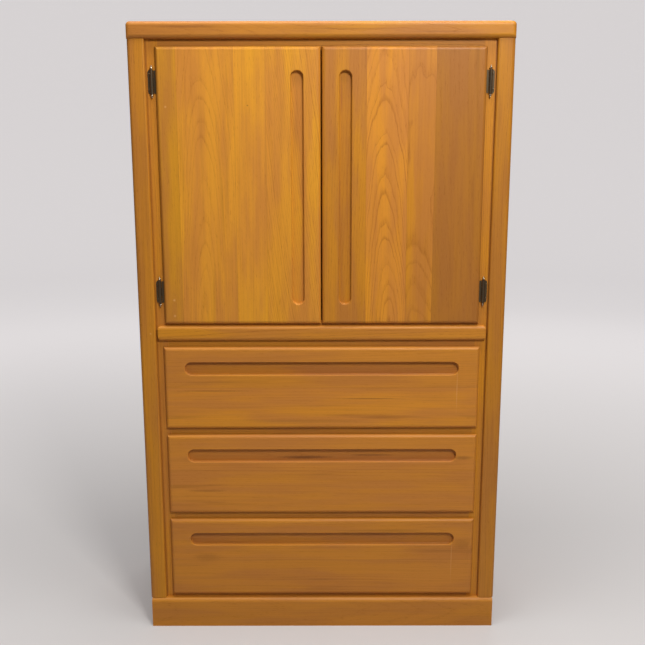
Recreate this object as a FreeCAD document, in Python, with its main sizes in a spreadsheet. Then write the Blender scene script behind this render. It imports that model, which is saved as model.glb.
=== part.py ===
import FreeCAD, Part
import math
import os

import Sketcher

# A free-standing oak armoire: a two-door cupboard over three drawers, on a plinth.
# The frame has +Z up, the front faces -Y, and the origin is on the floor below the
# middle of the case. Left and right are those of a person who faces the front.

DIMENSIONS = {
    # whole case
    "overall_width": 965,
    "overall_depth": 470,
    "overall_height": 1632,
    "panel_thickness": 19,
    "back_thickness": 6,
    "back_rabbet": 10,
    # top and plinth
    "top_height": 41,
    "top_overhang": 6,
    "top_border": 40,
    "top_radius": 10,
    "plinth_height": 84,
    "plinth_inset": 3.5,
    "plinth_thickness": 22,
    "plinth_recess": 19,
    "plinth_radius": 12,
    # posts and the face frame set back between them
    "post_width": 44,
    "post_depth": 30,
    "post_outer_radius": 10,
    "post_inner_radius": 5,
    "frame_setback": 11,
    "moulding_bottom": 825,
    "moulding_height": 40,
    "moulding_radius": 9.5,
    "moulding_end_gap": 4,
    "moulding_end_radius": 3,
    # doors
    "door_bottom": 871,
    "door_height": 702,
    "door_reach": 414,
    "door_half_gap": 1.5,
    "front_thickness": 19,
    "front_radius": 9,
    "lip_width": 9.5,
    "lip_clearance": 1.5,
    "door_lip": 9.2,
    "hinge_side_clearance": 3,
    # drawers
    "drawer_bottom": 94.5,
    "drawer_height": 225,
    "drawer_pitch": 244,
    "drawer_reach": 420,
    "drawer_lip": 10.5,
    "drawer_half_box": 404,
    "drawer_side_height": 160,
    "drawer_side_thickness": 12,
    "drawer_depth": 395,
    "drawer_lift": 0.5,
    "drawer_bottom_thickness": 5,
    "groove_depth": 5,
    "groove_rise": 10,
    # finger slots routed in the doors and the drawer fronts
    "slot_depth": 11,
    "slot_floor_radius": 2.5,
    "slot_mouth_radius": 2,
    "door_slot_centre": 61,
    "door_slot_width": 32,
    "door_slot_length": 592,
    "door_slot_rise": 52,
    "drawer_slot_width": 35,
    "drawer_slot_length": 730,
    "drawer_slot_drop": 41,
    # drawer runners
    "runner_shelf": 17.5,
    "runner_thickness": 18,
    "runner_guide_height": 14,
    "runner_side_play": 1.5,
    # adjustable shelf
    "shelf_bottom": 1209,
    "shelf_side_play": 1.5,
    "shelf_front_gap": 12,
    "shelf_back_gap": 19,
    "peg_radius": 2.45,
    "peg_hole_radius": 2.5,
    "peg_hole_depth": 10,
    "peg_length": 19,
    "peg_row_pitch": 64,
    "peg_column_inset": 45,
    # hinges
    "hinge_reach": 424,
    "hinge_forward": 4.5,
    "hinge_end_distance": 85,
    "barrel_radius": 4.2,
    "barrel_length": 60,
    "door_knuckle_length": 20,
    "knuckle_gap": 0.2,
    "leaf_thickness": 1.5,
    "frame_leaf_width": 10,
    "leaf_corner_radius": 7,
    "leaf_window": 5,
    "strap_clearance": 0.3,
    "strap_barrel_gap": 0.5,
    "flange_width": 34.5,
    "flange_height": 56,
    "flange_corner_radius": 8,
    "pin_radius": 1.5,
    "pin_running_clearance": 0.05,
    "finial_radius": 3.3,
    "finial_height": 10,
    "finial_tip_radius": 1.7,
    # screws
    "screw_head_radius": 2.4,
    "screw_head_height": 1.2,
    "screw_shank_radius": 1.2,
    "screw_length": 12,
    "door_screw_length": 7.5,
    "screw_slot_width": 0.7,
    "screw_slot_depth": 0.5,
    "frame_screw_reach": 7,
    "frame_screw_height": 19,
    "flange_screw_reach": 32,
    "flange_screw_height": 15,
    # double magnetic catch and its strike plates
    "catch_half_width": 30,
    "catch_depth": 24,
    "catch_height": 15,
    "strike_gap": 0.5,
    "strike_thickness": 1.2,
    "strike_inner_reach": 6,
    "strike_width": 22,
    "strike_height": 12,
}

LEFT, RIGHT = -1, 1
SIDE_NAMES = {LEFT: "left", RIGHT: "right"}
DRAWER_COUNT = 3
PEG_ROWS = range(-2, 3)

# Planes and edges of the case, as expressions of the driving dimensions.
FRONT = "(-Dims.overall_depth / 2)"
BACK = "(Dims.overall_depth / 2)"
HALF_WIDTH = "(Dims.overall_width / 2)"
INSIDE = f"({HALF_WIDTH} - Dims.panel_thickness)"
BACK_FRONT = f"({BACK} - Dims.back_thickness)"
POST_FRONT = f"({FRONT} + Dims.top_overhang)"
POST_BACK = f"({POST_FRONT} + Dims.post_depth)"
POST_INNER = f"({HALF_WIDTH} - Dims.post_width)"
FRAME_FRONT = f"({POST_FRONT} + Dims.frame_setback)"
FRAME_BACK = f"({FRAME_FRONT} + Dims.panel_thickness)"
FRONTS_BACK = f"({POST_FRONT} + Dims.front_thickness)"
TOP_BOTTOM = "(Dims.overall_height - Dims.top_height)"
TOP_PANEL_BOTTOM = "(Dims.overall_height - Dims.panel_thickness)"
BORDER_BACK = f"({FRONT} + Dims.top_border)"
BORDER_INNER = f"({HALF_WIDTH} - Dims.top_border)"
PLINTH_HALF = f"({HALF_WIDTH} - Dims.plinth_inset)"
PLINTH_FRONT_BACK = f"({FRONT} + Dims.plinth_thickness)"
PLINTH_BACK = f"({BACK} - Dims.plinth_recess)"
OPENING_REACH = "(Dims.door_reach - Dims.lip_width + Dims.hinge_side_clearance)"
LIP_OVERLAP = "(Dims.lip_width - Dims.lip_clearance)"
DOOR_OPENING_BOTTOM = f"(Dims.door_bottom + {LIP_OVERLAP})"
DOOR_OPENING_TOP = f"(Dims.door_bottom + Dims.door_height - {LIP_OVERLAP})"
HINGE_Y = f"({FRAME_FRONT} - Dims.hinge_forward)"

document = FreeCAD.newDocument("Armoire")
dims = document.addObject("Spreadsheet::Sheet", "Dims")
parts = {}


def fill_sheet():
    """Write one driving dimension per row, with its name beside it."""
    for row, (alias, value) in enumerate(DIMENSIONS.items(), start=1):
        dims.set(f"A{row}", alias)
        dims.set(f"B{row}", str(value))
        dims.setAlias(f"B{row}", alias)
    document.recompute()


def value(alias):
    """Number that a cell of the sheet holds."""
    return float(dims.get(alias))


def keep(label, piece):
    """Name a finished sub-part and put it on the list of files to write."""
    piece.Label = label
    parts[label] = piece
    return piece


def span(side, near, far):
    """Low and high x of something that lies from near to far on one side."""
    return (near, far) if side == RIGHT else (f"-({far})", f"-({near})")


def drawer_base(level):
    """Bottom edge of a drawer front, counting levels from the bottom one."""
    return f"(Dims.drawer_bottom + {level} * Dims.drawer_pitch)"


def set_box(box, x, y, z):
    """Bind a box to (low, high) pairs along each axis."""
    sizes = ("Length", "Width", "Height")
    for size, axis, (low, high) in zip(sizes, "xyz", (x, y, z)):
        box.setExpression(size, f"({high}) - ({low})")
        box.setExpression(f".Placement.Base.{axis}", low)
    return box


def board(label, x, y, z):
    """Plain rectangular board between (low, high) pairs."""
    return keep(label, set_box(document.addObject("Part::Box", label), x, y, z))


def new_body(name):
    return document.addObject("PartDesign::Body", name)


def body_box(body, kind, x, y, z):
    """Add or cut a box in a body: kind is Additive or Subtractive."""
    return set_box(body.newObject(f"PartDesign::{kind}Box", f"{kind}Box"), x, y, z)


def body_cylinder(body, kind, radius, height, x="0", y="0", z="0", along_y=False):
    """Add or cut a cylinder that starts at x, y, z and points up, or back."""
    rod = body.newObject(f"PartDesign::{kind}Cylinder", f"{kind}Cylinder")
    if along_y:
        rod.Placement = FreeCAD.Placement(FreeCAD.Vector(),
                                          FreeCAD.Rotation(FreeCAD.Vector(1, 0, 0), -90))
    rod.setExpression("Radius", radius)
    rod.setExpression("Height", height)
    for axis, low in zip("xyz", (x, y, z)):
        rod.setExpression(f".Placement.Base.{axis}", low)
    return rod


def round_edges(body, radius, chosen):
    """Round every edge of the body whose bounding box passes the test."""
    document.recompute()
    base = body.Tip
    names = [f"Edge{number}" for number, edge in enumerate(base.Shape.Edges, start=1)
             if chosen(edge.BoundBox)]
    if not names:
        raise RuntimeError(f"{body.Name}: no edge to round")
    fillet = body.newObject("PartDesign::Fillet", "Round")
    fillet.Base = (base, names)
    fillet.setExpression("Radius", radius)
    return fillet


def at(low, high, place):
    """True for a bounding box that is flat and lies at one place."""
    return abs(low - place) < 0.01 and abs(high - place) < 0.01


def place(body, x="0", y="0", z="0"):
    """Put a body that was modelled about its own origin where it belongs."""
    for axis, low in zip("xyz", (x, y, z)):
        body.setExpression(f".Placement.Base.{axis}", low)
    return body


def group(label, pieces):
    """Several identical small pieces as one node of separate solids."""
    bunch = document.addObject("Part::Compound", label)
    bunch.Links = pieces
    return keep(label, bunch)


# ---------------------------------------------------------------- case

def peg_columns():
    """Depths of the two columns of shelf peg holes."""
    return (f"({POST_BACK} + Dims.peg_column_inset)",
            f"({BACK_FRONT} - Dims.peg_column_inset)")


def peg_height(row):
    """Height of a row of peg holes, where row 0 carries the shelf."""
    return f"(Dims.shelf_bottom - Dims.peg_radius + {row} * Dims.peg_row_pitch)"


def side_panel(side):
    """Side board with a rabbet for the back and two columns of peg holes."""
    label = f"{SIDE_NAMES[side]}_side_panel"
    panel = document.addObject("Part::Box", f"{label}_board")
    set_box(panel, span(side, INSIDE, HALF_WIDTH), (POST_BACK, BACK),
            ("Dims.plinth_height", TOP_BOTTOM))
    rabbet = document.addObject("Part::Box", f"{label}_rabbet")
    set_box(rabbet, span(side, INSIDE, f"({INSIDE} + Dims.back_rabbet)"),
            (BACK_FRONT, BACK), ("Dims.plinth_height", TOP_BOTTOM))
    cutters = [rabbet]
    for column in peg_columns():
        for row in PEG_ROWS:
            hole = document.addObject("Part::Cylinder", f"{label}_hole")
            hole.Placement.Rotation = FreeCAD.Rotation(FreeCAD.Vector(0, 1, 0), 90)
            hole.setExpression("Radius", "Dims.peg_hole_radius")
            hole.setExpression("Height", "Dims.peg_hole_depth")
            low = span(side, INSIDE, f"({INSIDE} + Dims.peg_hole_depth)")[0]
            hole.setExpression(".Placement.Base.x", low)
            hole.setExpression(".Placement.Base.y", column)
            hole.setExpression(".Placement.Base.z", peg_height(row))
            cutters.append(hole)
    tool = document.addObject("Part::Compound", f"{label}_cutters")
    tool.Links = cutters
    cut = document.addObject("Part::Cut", label)
    cut.Base, cut.Tool = panel, tool
    return keep(label, cut)


def post(side):
    """Front corner post, rounded on both of its front edges."""
    label = f"{SIDE_NAMES[side]}_post"
    body = new_body(label)
    body_box(body, "Additive", span(side, POST_INNER, HALF_WIDTH), (POST_FRONT, POST_BACK),
             ("Dims.plinth_height", TOP_BOTTOM))
    outer = side * value("overall_width") / 2
    inner = outer - side * value("post_width")
    front = value("top_overhang") - value("overall_depth") / 2

    def front_edge(box, x):
        return at(box.XMin, box.XMax, x) and at(box.YMin, box.YMax, front)

    round_edges(body, "Dims.post_outer_radius", lambda box: front_edge(box, outer))
    round_edges(body, "Dims.post_inner_radius", lambda box: front_edge(box, inner))
    return keep(label, body)


def face_frame():
    """Two stiles and five rails, set back between the posts."""
    depth = (FRAME_FRONT, FRAME_BACK)
    for side in (LEFT, RIGHT):
        board(f"{SIDE_NAMES[side]}_inner_stile", span(side, OPENING_REACH, POST_INNER),
              depth, ("Dims.plinth_height", TOP_BOTTOM))
    width = (f"-{OPENING_REACH}", OPENING_REACH)

    def opening_bottom(level):
        return f"({drawer_base(level)} + {LIP_OVERLAP})"

    def opening_top(level):
        return f"({drawer_base(level)} + Dims.drawer_height - {LIP_OVERLAP})"

    board("bottom_rail", width, depth, ("Dims.plinth_height", opening_bottom(0)))
    board("lower_drawer_rail", width, depth, (opening_top(0), opening_bottom(1)))
    board("upper_drawer_rail", width, depth, (opening_top(1), opening_bottom(2)))
    board("mid_rail", width, depth, (opening_top(2), DOOR_OPENING_BOTTOM))
    board("top_rail", width, depth, (DOOR_OPENING_TOP, TOP_BOTTOM))


def mid_rail_moulding():
    """Rounded bar in front of the mid rail, from post to post."""
    body = new_body("mid_rail_moulding")
    reach = f"({POST_INNER} - Dims.moulding_end_gap)"
    body_box(body, "Additive", (f"-{reach}", reach), (POST_FRONT, FRAME_FRONT),
             ("Dims.moulding_bottom", "Dims.moulding_bottom + Dims.moulding_height"))
    front = value("top_overhang") - value("overall_depth") / 2

    def along_front(box):
        return at(box.YMin, box.YMax, front) and box.XLength > 1

    def across_front(box):
        return at(box.YMin, box.YMax, front) and at(box.XMin, box.XMax, box.XMin)

    round_edges(body, "Dims.moulding_end_radius", across_front)
    round_edges(body, "Dims.moulding_radius",
                lambda box: along_front(box) and box.XLength > value("moulding_height"))
    return keep("mid_rail_moulding", body)


def panels():
    """Cupboard floor, bottom and back of the case."""
    board("cupboard_floor", (f"-{INSIDE}", INSIDE), (FRAME_BACK, BACK_FRONT),
          (f"{DOOR_OPENING_BOTTOM} - Dims.panel_thickness", DOOR_OPENING_BOTTOM))
    runner_inner = "(Dims.drawer_half_box - Dims.runner_shelf)"
    board("bottom_panel", (f"-{runner_inner}", runner_inner), (FRAME_BACK, BACK_FRONT),
          ("Dims.plinth_height", "Dims.plinth_height + Dims.drawer_side_thickness"))
    reach = f"({INSIDE} + Dims.back_rabbet)"
    board("back_panel", (f"-{reach}", reach), (BACK_FRONT, BACK),
          ("Dims.plinth_height", TOP_BOTTOM))


def top_blank():
    """The whole top as one block, rounded at its upper edges, front corners and front."""
    body = new_body("top_blank")
    body_box(body, "Additive", (f"-{HALF_WIDTH}", HALF_WIDTH), (FRONT, BACK),
             (TOP_BOTTOM, "Dims.overall_height"))
    half, front = value("overall_width") / 2, -value("overall_depth") / 2
    crest = value("overall_height")

    def outer_edge(box):
        in_front = at(box.YMin, box.YMax, front)
        on_side = at(box.XMin, box.XMax, half) or at(box.XMin, box.XMax, -half)
        on_top = at(box.ZMin, box.ZMax, crest)
        return in_front or (on_side and on_top)

    round_edges(body, "Dims.top_radius", outer_edge)
    return body


def border_piece(label, blank, turn, near_left, near_right, far_left, far_right, outer, inner):
    """Mitred border strip of the top: what the blank and a mitred wedge have in common.

    The wedge is laid out with its outer face towards -Y and then turned about Z.
    """
    body = new_body(f"{label}_wedge")
    strip = body.newObject("PartDesign::AdditiveWedge", "Strip")
    strip.Placement = FreeCAD.Placement(FreeCAD.Vector(),
                                        FreeCAD.Rotation(FreeCAD.Vector(0, 0, 1), turn))
    bounds = {"Xmin": near_left, "Xmax": near_right, "X2min": far_left, "X2max": far_right,
              "Ymin": outer, "Ymax": inner, "Zmin": "0", "Z2min": "0",
              "Zmax": "Dims.top_height", "Z2max": "Dims.top_height"}
    for name, bound in bounds.items():
        strip.setExpression(name, bound)
    place(body, z=TOP_BOTTOM)
    common = document.addObject("Part::Common", label)
    common.Base, common.Tool = body, blank
    return keep(label, common)


def top():
    """Top panel inside a deeper border on three sides, and a rail at the back."""
    blank = top_blank()
    border_piece("top_front_moulding", blank, 0, f"-{HALF_WIDTH}", HALF_WIDTH,
                 f"-{BORDER_INNER}", BORDER_INNER, FRONT, BORDER_BACK)
    border_piece("top_right_moulding", blank, 90, FRONT, BACK, BORDER_BACK, BACK,
                 f"-{HALF_WIDTH}", f"-{BORDER_INNER}")
    border_piece("top_left_moulding", blank, -90, FRONT, BACK, FRONT, f"-{BORDER_BACK}",
                 f"-{HALF_WIDTH}", f"-{BORDER_INNER}")
    width = (f"-{BORDER_INNER}", BORDER_INNER)
    board("top_panel", width, (BORDER_BACK, BACK), (TOP_PANEL_BOTTOM, "Dims.overall_height"))
    board("top_back_rail", width, (f"{BACK} - Dims.panel_thickness", BACK),
          (TOP_BOTTOM, TOP_PANEL_BOTTOM))


def plinth():
    """Base frame that the case stands on; only its front board is rounded."""
    body = new_body("plinth_front")
    body_box(body, "Additive", (f"-{PLINTH_HALF}", PLINTH_HALF), (FRONT, PLINTH_FRONT_BACK),
             ("0", "Dims.plinth_height"))
    front, height = -value("overall_depth") / 2, value("plinth_height")
    round_edges(body, "Dims.plinth_radius",
                lambda box: at(box.YMin, box.YMax, front) and at(box.ZMin, box.ZMax, height))
    keep("plinth_front", body)
    inner = f"({PLINTH_HALF} - Dims.panel_thickness)"
    for side in (LEFT, RIGHT):
        board(f"plinth_{SIDE_NAMES[side]}_side", span(side, inner, PLINTH_HALF),
              (PLINTH_FRONT_BACK, PLINTH_BACK), ("0", "Dims.plinth_height"))
    board("plinth_back", (f"-{inner}", inner),
          (f"{PLINTH_BACK} - Dims.panel_thickness", PLINTH_BACK), ("0", "Dims.plinth_height"))


def shelf_and_pegs():
    """Loose shelf on four round pegs."""
    reach = f"({INSIDE} - Dims.shelf_side_play)"
    board("cupboard_shelf", (f"-{reach}", reach),
          (f"{FRAME_BACK} + Dims.shelf_front_gap", f"{BACK_FRONT} - Dims.shelf_back_gap"),
          ("Dims.shelf_bottom", "Dims.shelf_bottom + Dims.panel_thickness"))
    pegs = []
    for side in (LEFT, RIGHT):
        for column in peg_columns():
            peg = document.addObject("Part::Cylinder", "shelf_peg")
            peg.Placement.Rotation = FreeCAD.Rotation(FreeCAD.Vector(0, 1, 0), 90)
            peg.setExpression("Radius", "Dims.peg_radius")
            peg.setExpression("Height", "Dims.peg_length")
            tip = f"({INSIDE} + Dims.peg_hole_depth)"
            low = span(side, f"({tip} - Dims.peg_length)", tip)[0]
            peg.setExpression(".Placement.Base.x", low)
            peg.setExpression(".Placement.Base.y", column)
            peg.setExpression(".Placement.Base.z", peg_height(0))
            pegs.append(peg)
    group("shelf_pegs", pegs)


def drawer_runner(level, side):
    """L-shaped runner: a shelf under the drawer side and a guide beside it."""
    label = f"drawer_{DRAWER_COUNT - level}_{SIDE_NAMES[side]}_runner"
    body = new_body(label)
    surface = f"({drawer_base(level)} + {LIP_OVERLAP})"
    depth = (FRAME_BACK, BACK_FRONT)
    body_box(body, "Additive", span(side, "(Dims.drawer_half_box - Dims.runner_shelf)", INSIDE),
             depth, (f"{surface} - Dims.runner_thickness", surface))
    body_box(body, "Additive",
             span(side, "(Dims.drawer_half_box + Dims.runner_side_play)", INSIDE),
             depth, (surface, f"{surface} + Dims.runner_guide_height"))
    return keep(label, body)


# -------------------------------------------------------- doors and drawer fronts

def slot_outline(body, length, width, centre_x, centre_z, upright):
    """Sketch of a slot with round ends, on the front face of a body."""
    sketch = body.newObject("Sketcher::SketchObject", "SlotOutline")
    plane = next(item for item in body.Origin.OriginFeatures if item.Role == "XZ_Plane")
    sketch.AttachmentSupport = [(plane, "")]
    sketch.MapMode = "FlatFace"
    if upright:
        turn = FreeCAD.Rotation(FreeCAD.Vector(0, 0, 1), 90)
        sketch.AttachmentOffset = FreeCAD.Placement(FreeCAD.Vector(), turn)
    sketch.setExpression(".AttachmentOffset.Base.x", centre_x)
    sketch.setExpression(".AttachmentOffset.Base.y", centre_z)
    radius = value(width) / 2
    run = value(length) / 2 - radius
    normal = FreeCAD.Vector(0, 0, 1)
    right_end, left_end = [
        sketch.addGeometry(Part.ArcOfCircle(
            Part.Circle(FreeCAD.Vector(where, 0, 0), normal, radius), start, start + math.pi))
        for where, start in ((run, -math.pi / 2), (-run, math.pi / 2))]
    upper, lower = [
        sketch.addGeometry(Part.LineSegment(FreeCAD.Vector(-run, offset, 0),
                                            FreeCAD.Vector(run, offset, 0)))
        for offset in (radius, -radius)]
    for constraint in (("Tangent", right_end, 2, upper, 2), ("Tangent", upper, 1, left_end, 1),
                       ("Tangent", left_end, 2, lower, 1), ("Tangent", lower, 2, right_end, 1),
                       ("Horizontal", upper), ("Equal", right_end, left_end),
                       ("PointOnObject", right_end, 3, -1)):
        sketch.addConstraint(Sketcher.Constraint(*constraint))
    bind = {("Radius", right_end, radius): f"Dims.{width} / 2",
            ("DistanceX", -1, 1, right_end, 3, run): f"(Dims.{length} - Dims.{width}) / 2",
            ("DistanceX", left_end, 3, -1, 1, run): f"(Dims.{length} - Dims.{width}) / 2"}
    for constraint, expression in bind.items():
        number = sketch.addConstraint(Sketcher.Constraint(*constraint))
        sketch.setExpression(f"Constraints[{number}]", expression)
    return sketch


def finger_slot(body, length, width, centre_x, centre_z, upright=False):
    """Rout a blind slot in a front: coved floor, softened mouth."""
    document.recompute()
    uncut = body.Tip.Shape.Volume
    pocket = body.newObject("PartDesign::Pocket", "FingerSlot")
    pocket.Profile = slot_outline(body, length, width, centre_x, centre_z, upright)
    pocket.setExpression("Length", "Dims.slot_depth")
    document.recompute()
    if uncut - pocket.Shape.Volume < value("slot_depth") * value(length):
        raise RuntimeError(f"{body.Name}: the finger slot cuts nothing")
    outside = pocket.Shape.BoundBox
    floor = value("slot_depth")
    round_edges(body, "Dims.slot_floor_radius", lambda box: at(box.YMin, box.YMax, floor))
    margin = value("front_radius") + 1

    def mouth(box):
        inside_x = box.XMin > outside.XMin + margin and box.XMax < outside.XMax - margin
        inside_z = box.ZMin > outside.ZMin + margin and box.ZMax < outside.ZMax - margin
        return at(box.YMin, box.YMax, 0) and inside_x and inside_z

    round_edges(body, "Dims.slot_mouth_radius", mouth)


def round_front(body):
    """Round the four edges of the front face, which lies at y = 0."""
    round_edges(body, "Dims.front_radius", lambda box: at(box.YMin, box.YMax, 0))


def door_panel(side):
    """Solid door with a lip on three sides, modelled from the middle of the case.

    Its own origin is on the front face, at the bottom edge, midway between the doors.
    """
    label = f"{SIDE_NAMES[side]}_door_panel"
    body = new_body(label)
    depth, height = ("0", "Dims.front_thickness"), ("0", "Dims.door_height")
    body_box(body, "Additive", span(side, "Dims.door_half_gap", "Dims.door_reach"),
             depth, height)
    round_front(body)
    rabbet = ("Dims.door_lip", "Dims.front_thickness")
    wide = span(side, "Dims.door_half_gap", "Dims.door_reach")
    body_box(body, "Subtractive",
             span(side, "Dims.door_reach - Dims.lip_width", "Dims.door_reach"), rabbet, height)
    body_box(body, "Subtractive", wide, rabbet, ("0", "Dims.lip_width"))
    body_box(body, "Subtractive", wide, rabbet,
             ("Dims.door_height - Dims.lip_width", "Dims.door_height"))
    centre_x = f"{side} * Dims.door_slot_centre"
    finger_slot(body, "door_slot_length", "door_slot_width", centre_x,
                "Dims.door_slot_rise + Dims.door_slot_length / 2", upright=True)
    place(body, y=POST_FRONT, z="Dims.door_bottom")
    return keep(label, body)


def drawer_front(level):
    """Solid drawer front with a lip all round and a groove for the bottom."""
    label = f"drawer_{DRAWER_COUNT - level}_front"
    body = new_body(label)
    wide = ("-Dims.drawer_reach", "Dims.drawer_reach")
    height = ("0", "Dims.drawer_height")
    body_box(body, "Additive", wide, ("0", "Dims.front_thickness"), height)
    round_front(body)
    rabbet = ("Dims.drawer_lip", "Dims.front_thickness")
    for side in (LEFT, RIGHT):
        body_box(body, "Subtractive", span(side, "Dims.drawer_half_box", "Dims.drawer_reach"),
                 rabbet, height)
    body_box(body, "Subtractive", wide, rabbet, ("0", "Dims.lip_width"))
    body_box(body, "Subtractive", wide, rabbet,
             ("Dims.drawer_height - Dims.lip_width", "Dims.drawer_height"))
    groove_bottom = f"({LIP_OVERLAP} + Dims.drawer_lift + Dims.groove_rise)"
    reach = "(Dims.drawer_half_box - Dims.drawer_side_thickness + Dims.groove_depth)"
    body_box(body, "Subtractive", (f"-{reach}", reach),
             ("Dims.front_thickness - Dims.groove_depth", "Dims.front_thickness"),
             (groove_bottom, f"{groove_bottom} + Dims.drawer_bottom_thickness"))
    finger_slot(body, "drawer_slot_length", "drawer_slot_width", "0",
                "Dims.drawer_height - Dims.drawer_slot_drop - Dims.drawer_slot_width / 2")
    place(body, y=POST_FRONT, z=drawer_base(level))
    return keep(label, body)


def drawer_box(level):
    """Two grooved sides, a back and a thin bottom behind a drawer front."""
    name = f"drawer_{DRAWER_COUNT - level}"
    base = f"({drawer_base(level)} + {LIP_OVERLAP} + Dims.drawer_lift)"
    crest = f"({base} + Dims.drawer_side_height)"
    groove = (f"{base} + Dims.groove_rise",
              f"{base} + Dims.groove_rise + Dims.drawer_bottom_thickness")
    depth = (FRONTS_BACK, f"({FRONTS_BACK} + Dims.drawer_depth)")
    inside = "(Dims.drawer_half_box - Dims.drawer_side_thickness)"
    for side in (LEFT, RIGHT):
        label = f"{name}_{SIDE_NAMES[side]}_side"
        body = new_body(label)
        body_box(body, "Additive", span(side, inside, "Dims.drawer_half_box"), depth,
                 (base, crest))
        body_box(body, "Subtractive", span(side, inside, f"({inside} + Dims.groove_depth)"),
                 depth, groove)
        keep(label, body)
    board(f"{name}_back", (f"-{inside}", inside),
          (f"{depth[1]} - Dims.drawer_side_thickness", depth[1]), (groove[1], crest))
    reach = f"({inside} + Dims.groove_depth)"
    board(f"{name}_bottom", (f"-{reach}", reach),
          (f"{FRONTS_BACK} - Dims.groove_depth", depth[1]), groove)


# -------------------------------------------------------------- hinges

def hinge_heights():
    """Heights of the middle of the lower and of the upper hinge."""
    return ("(Dims.door_bottom + Dims.hinge_end_distance)",
            "(Dims.door_bottom + Dims.door_height - Dims.hinge_end_distance)")


def hinge_place(body, side, height):
    """Move a hinge piece, modelled about the hinge's axis, to its place."""
    return place(body, x=f"{side} * Dims.hinge_reach", y=HINGE_Y, z=height)


def frame_leaf(side, height):
    """Visible leaf with the two outer knuckles, screwed to the inner stile."""
    body = new_body(f"{SIDE_NAMES[side]}_frame_leaf")
    half = "(Dims.barrel_length / 2)"
    plate = ("Dims.hinge_forward - Dims.leaf_thickness", "Dims.hinge_forward")
    body_box(body, "Additive", span(side, "0", "Dims.frame_leaf_width"), plate,
             (f"-{half}", half))
    rim = side * value("frame_leaf_width")
    round_edges(body, "Dims.leaf_corner_radius",
                lambda box: at(box.XMin, box.XMax, rim) and at(box.ZMin, box.ZMax, box.ZMin))
    gap = "(Dims.door_knuckle_length / 2 + Dims.knuckle_gap)"
    body_box(body, "Subtractive", span(side, "0", "Dims.leaf_window"), plate,
             (f"-{gap}", gap))
    for low in (gap, f"-{half}"):
        body_cylinder(body, "Additive", "Dims.barrel_radius", f"{half} - {gap}", z=low)
    body_cylinder(body, "Subtractive", "Dims.pin_radius", "Dims.barrel_length", z=f"-{half}")
    for level in (-1, 1):
        body_cylinder(body, "Subtractive", "Dims.screw_shank_radius", "Dims.leaf_thickness",
                      x=f"{side} * Dims.frame_screw_reach", y=plate[0],
                      z=f"{level} * Dims.frame_screw_height", along_y=True)
    return hinge_place(body, side, height)


def door_leaf(side, height):
    """Hidden leaf that wraps the door's lip, with the middle knuckle."""
    body = new_body(f"{SIDE_NAMES[side]}_door_leaf")
    half = "(Dims.door_knuckle_length / 2)"
    strap_back = "(Dims.hinge_forward - Dims.strap_clearance)"
    strap_front = f"({strap_back} - Dims.leaf_thickness)"
    wall = "(Dims.hinge_reach - Dims.door_reach + Dims.lip_width)"
    flange_front = "(Dims.hinge_forward - Dims.frame_setback + Dims.front_thickness)"
    flange_back = f"({flange_front} + Dims.leaf_thickness)"
    body_cylinder(body, "Additive", "Dims.barrel_radius", "Dims.door_knuckle_length",
                  z=f"-{half}")
    body_box(body, "Additive", span(-side, "0", wall), (strap_front, strap_back),
             (f"-{half}", half))
    tall = "(Dims.flange_height / 2)"
    beside_barrel = "(Dims.barrel_radius + Dims.strap_barrel_gap)"
    body_box(body, "Additive", span(-side, beside_barrel, wall), (strap_front, strap_back),
             (f"-{tall}", tall))
    body_box(body, "Additive", span(-side, f"({wall} - Dims.leaf_thickness)", wall),
             (strap_front, flange_back), (f"-{tall}", tall))
    body_box(body, "Additive",
             span(-side, f"({wall} - Dims.leaf_thickness)", f"({wall} + Dims.flange_width)"),
             (flange_front, flange_back), (f"-{tall}", tall))
    document.recompute()
    bounds = body.Tip.Shape.BoundBox
    rim = bounds.XMin if side == RIGHT else bounds.XMax
    round_edges(body, "Dims.flange_corner_radius",
                lambda box: at(box.XMin, box.XMax, rim) and at(box.ZMin, box.ZMax, box.ZMin))
    body_cylinder(body, "Subtractive", "Dims.pin_radius + Dims.pin_running_clearance",
                  "Dims.door_knuckle_length", z=f"-{half}")
    for level in (-1, 1):
        body_cylinder(body, "Subtractive", "Dims.screw_shank_radius", "Dims.leaf_thickness",
                      x=f"{-side} * Dims.flange_screw_reach", y=flange_front,
                      z=f"{level} * Dims.flange_screw_height", along_y=True)
    return hinge_place(body, side, height)


def hinge_pin(side, height):
    """Pin through the three knuckles, with a turned finial at each end."""
    body = new_body("hinge_pin")
    half = "(Dims.barrel_length / 2)"
    body_cylinder(body, "Additive", "Dims.pin_radius", "Dims.barrel_length + 2",
                  z=f"-{half} - 1")
    for end in (-1, 1):
        ball = body.newObject("PartDesign::AdditiveSphere", "Ball")
        ball.setExpression("Radius", "Dims.finial_radius")
        ball.setExpression(".Placement.Base.z", f"{end} * ({half} + Dims.finial_radius)")
        crown = "(Dims.finial_height - Dims.finial_tip_radius)"
        neck = body.newObject("PartDesign::AdditiveCone", "Neck")
        if end < 0:
            turn = FreeCAD.Rotation(FreeCAD.Vector(1, 0, 0), 180)
            neck.Placement = FreeCAD.Placement(FreeCAD.Vector(), turn)
        neck.setExpression("Radius1", "Dims.finial_radius * 0.7")
        neck.setExpression("Radius2", "Dims.finial_tip_radius * 0.7")
        neck.setExpression("Height", f"{crown} - Dims.finial_radius * 1.5")
        neck.setExpression(".Placement.Base.z",
                           f"{end} * ({half} + Dims.finial_radius * 1.5)")
        tip = body.newObject("PartDesign::AdditiveSphere", "Tip")
        tip.setExpression("Radius", "Dims.finial_tip_radius")
        tip.setExpression(".Placement.Base.z", f"{end} * ({half} + {crown})")
    return hinge_place(body, side, height)


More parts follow.
